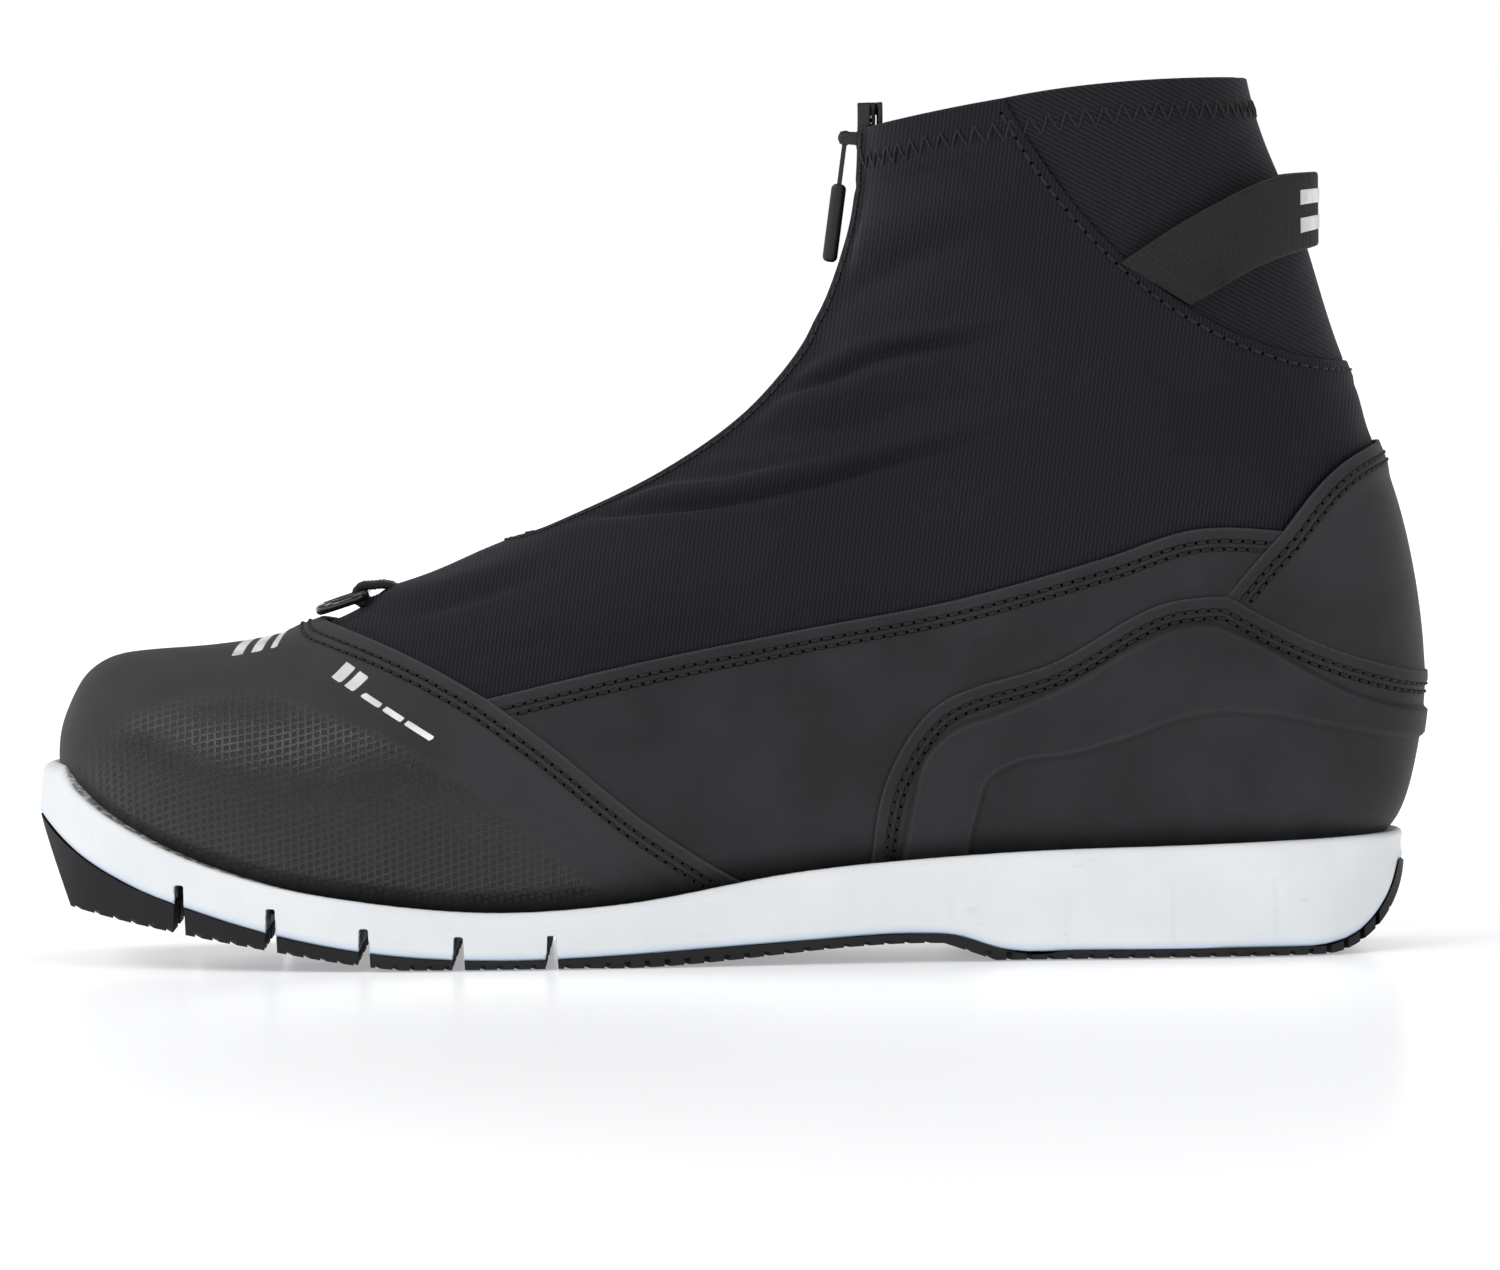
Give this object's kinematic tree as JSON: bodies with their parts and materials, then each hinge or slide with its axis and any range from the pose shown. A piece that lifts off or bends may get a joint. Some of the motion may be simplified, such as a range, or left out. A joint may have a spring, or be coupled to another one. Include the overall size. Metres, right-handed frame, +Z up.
{
  "type": "cross country ski boot",
  "caption": "Left cross country ski boot with zipped softshell lace cover, leather-look overlays, heel pull loop, gaiter ring and a flexible sole that carries a toe bar for the binding.",
  "frame": {"origin": "on the ground, at the middle of the boot's bounding box", "axes": "+X towards the heel, -X towards the toe, +Y towards the inner (medial) side of the left foot, +Z up"},
  "size_m": [0.3, 0.0995, 0.1878],
  "materials": {
    "overlay_leather": "matt embossed synthetic leather",
    "stretch_fabric": "fine ribbed softshell",
    "rear_fabric": "ribbed stretch fabric",
    "lining_fleece": "brushed fleece",
    "padding_foam": "open foam",
    "webbing": "ribbed tape",
    "midsole_foam": "matt moulded",
    "outsole_rubber": "matt moulded",
    "flex_rubber": "matt moulded",
    "bar_steel": "ground",
    "shank_steel": "rolled",
    "board_fibre": "pressed fibre",
    "stiffener_film": "thermoplastic film",
    "heel_cup_plastic": "moulded",
    "footbed_foam": "felt over foam",
    "zip_tape": "woven",
    "zip_coil": "nylon coil",
    "slider_metal": "black lacquer",
    "pull_rubber": "satin moulded",
    "ring_plastic": "polished"
  },
  "bodies": {
    "boot": {"toe_cap": "overlay_leather", "quarter_lateral": "overlay_leather", "quarter_medial": "overlay_leather", "heel_counter": "overlay_leather", "heel_collar_panel": "overlay_leather", "lace_cover_lateral": "stretch_fabric", "lace_cover_medial": "stretch_fabric", "rear_ankle_panel": "rear_fabric", "lasting_board": "board_fibre", "toe_puff": "stiffener_film", "heel_cup": "heel_cup_plastic", "collar_elastic": "webbing", "eyestay_lateral": "overlay_leather", "eyestay_medial": "overlay_leather", "midfoot_interlining": "padding_foam", "ankle_padding": "padding_foam", "footbed": "footbed_foam", "lining_forefoot": "lining_fleece", "lining_ankle": "lining_fleece", "tongue": "lining_fleece", "flex_core": "flex_rubber", "shank": "shank_steel", "heel_cushion": "padding_foam", "midsole": "midsole_foam", "toe_bar": "bar_steel", "toe_block": "outsole_rubber", "tread_block_1": "outsole_rubber", "tread_block_2": "outsole_rubber", "tread_block_3": "outsole_rubber", "tread_block_4": "outsole_rubber", "outsole_heel": "outsole_rubber", "zip_tape_lateral": "zip_tape", "zip_coil_lateral": "zip_coil", "zip_tape_medial": "zip_tape", "zip_coil_medial": "zip_coil", "zip_bottom_stop": "slider_metal", "zip_top_stops": "slider_metal", "ring_tab": "webbing", "loop_anchor_lateral": "webbing", "loop_anchor_medial": "webbing", "lace_loops_lateral": "webbing", "lace_loops_medial": "webbing"},
    "zip_slider": {"zip_slider": "slider_metal"},
    "zip_pull": {"zip_pull_link": "slider_metal", "zip_pull_grip": "pull_rubber"},
    "gaiter_ring": {"gaiter_ring": "ring_plastic"},
    "heel_pull_loop": {"heel_pull_loop": "webbing"}
  },
  "joints": [
    {"name": "zip_travel", "type": "hinge", "parent": "boot", "child": "zip_slider", "pos_m": [-0.061, 0, 0.1812], "axis": [0, 1, 0], "range_deg": [0, 72]},
    {"name": "zip_pull_swing", "type": "hinge", "parent": "zip_slider", "child": "zip_pull", "pos_m": [0.02622, 0, 0.17556], "axis": [0, 1, 0], "range_deg": [0, 150]},
    {"name": "gaiter_ring_flip", "type": "hinge", "parent": "boot", "child": "gaiter_ring", "pos_m": [-0.0787, 0, 0.0782], "axis": [0, 1, 0], "range_deg": [0, 160]},
    {"name": "pull_loop_flex", "type": "hinge", "parent": "boot", "child": "heel_pull_loop", "pos_m": [0.092, 0, 0.144], "axis": [0, 1, 0], "range_deg": [-13, 5], "stiffness_Nm_per_rad": 0.05}
  ]
}
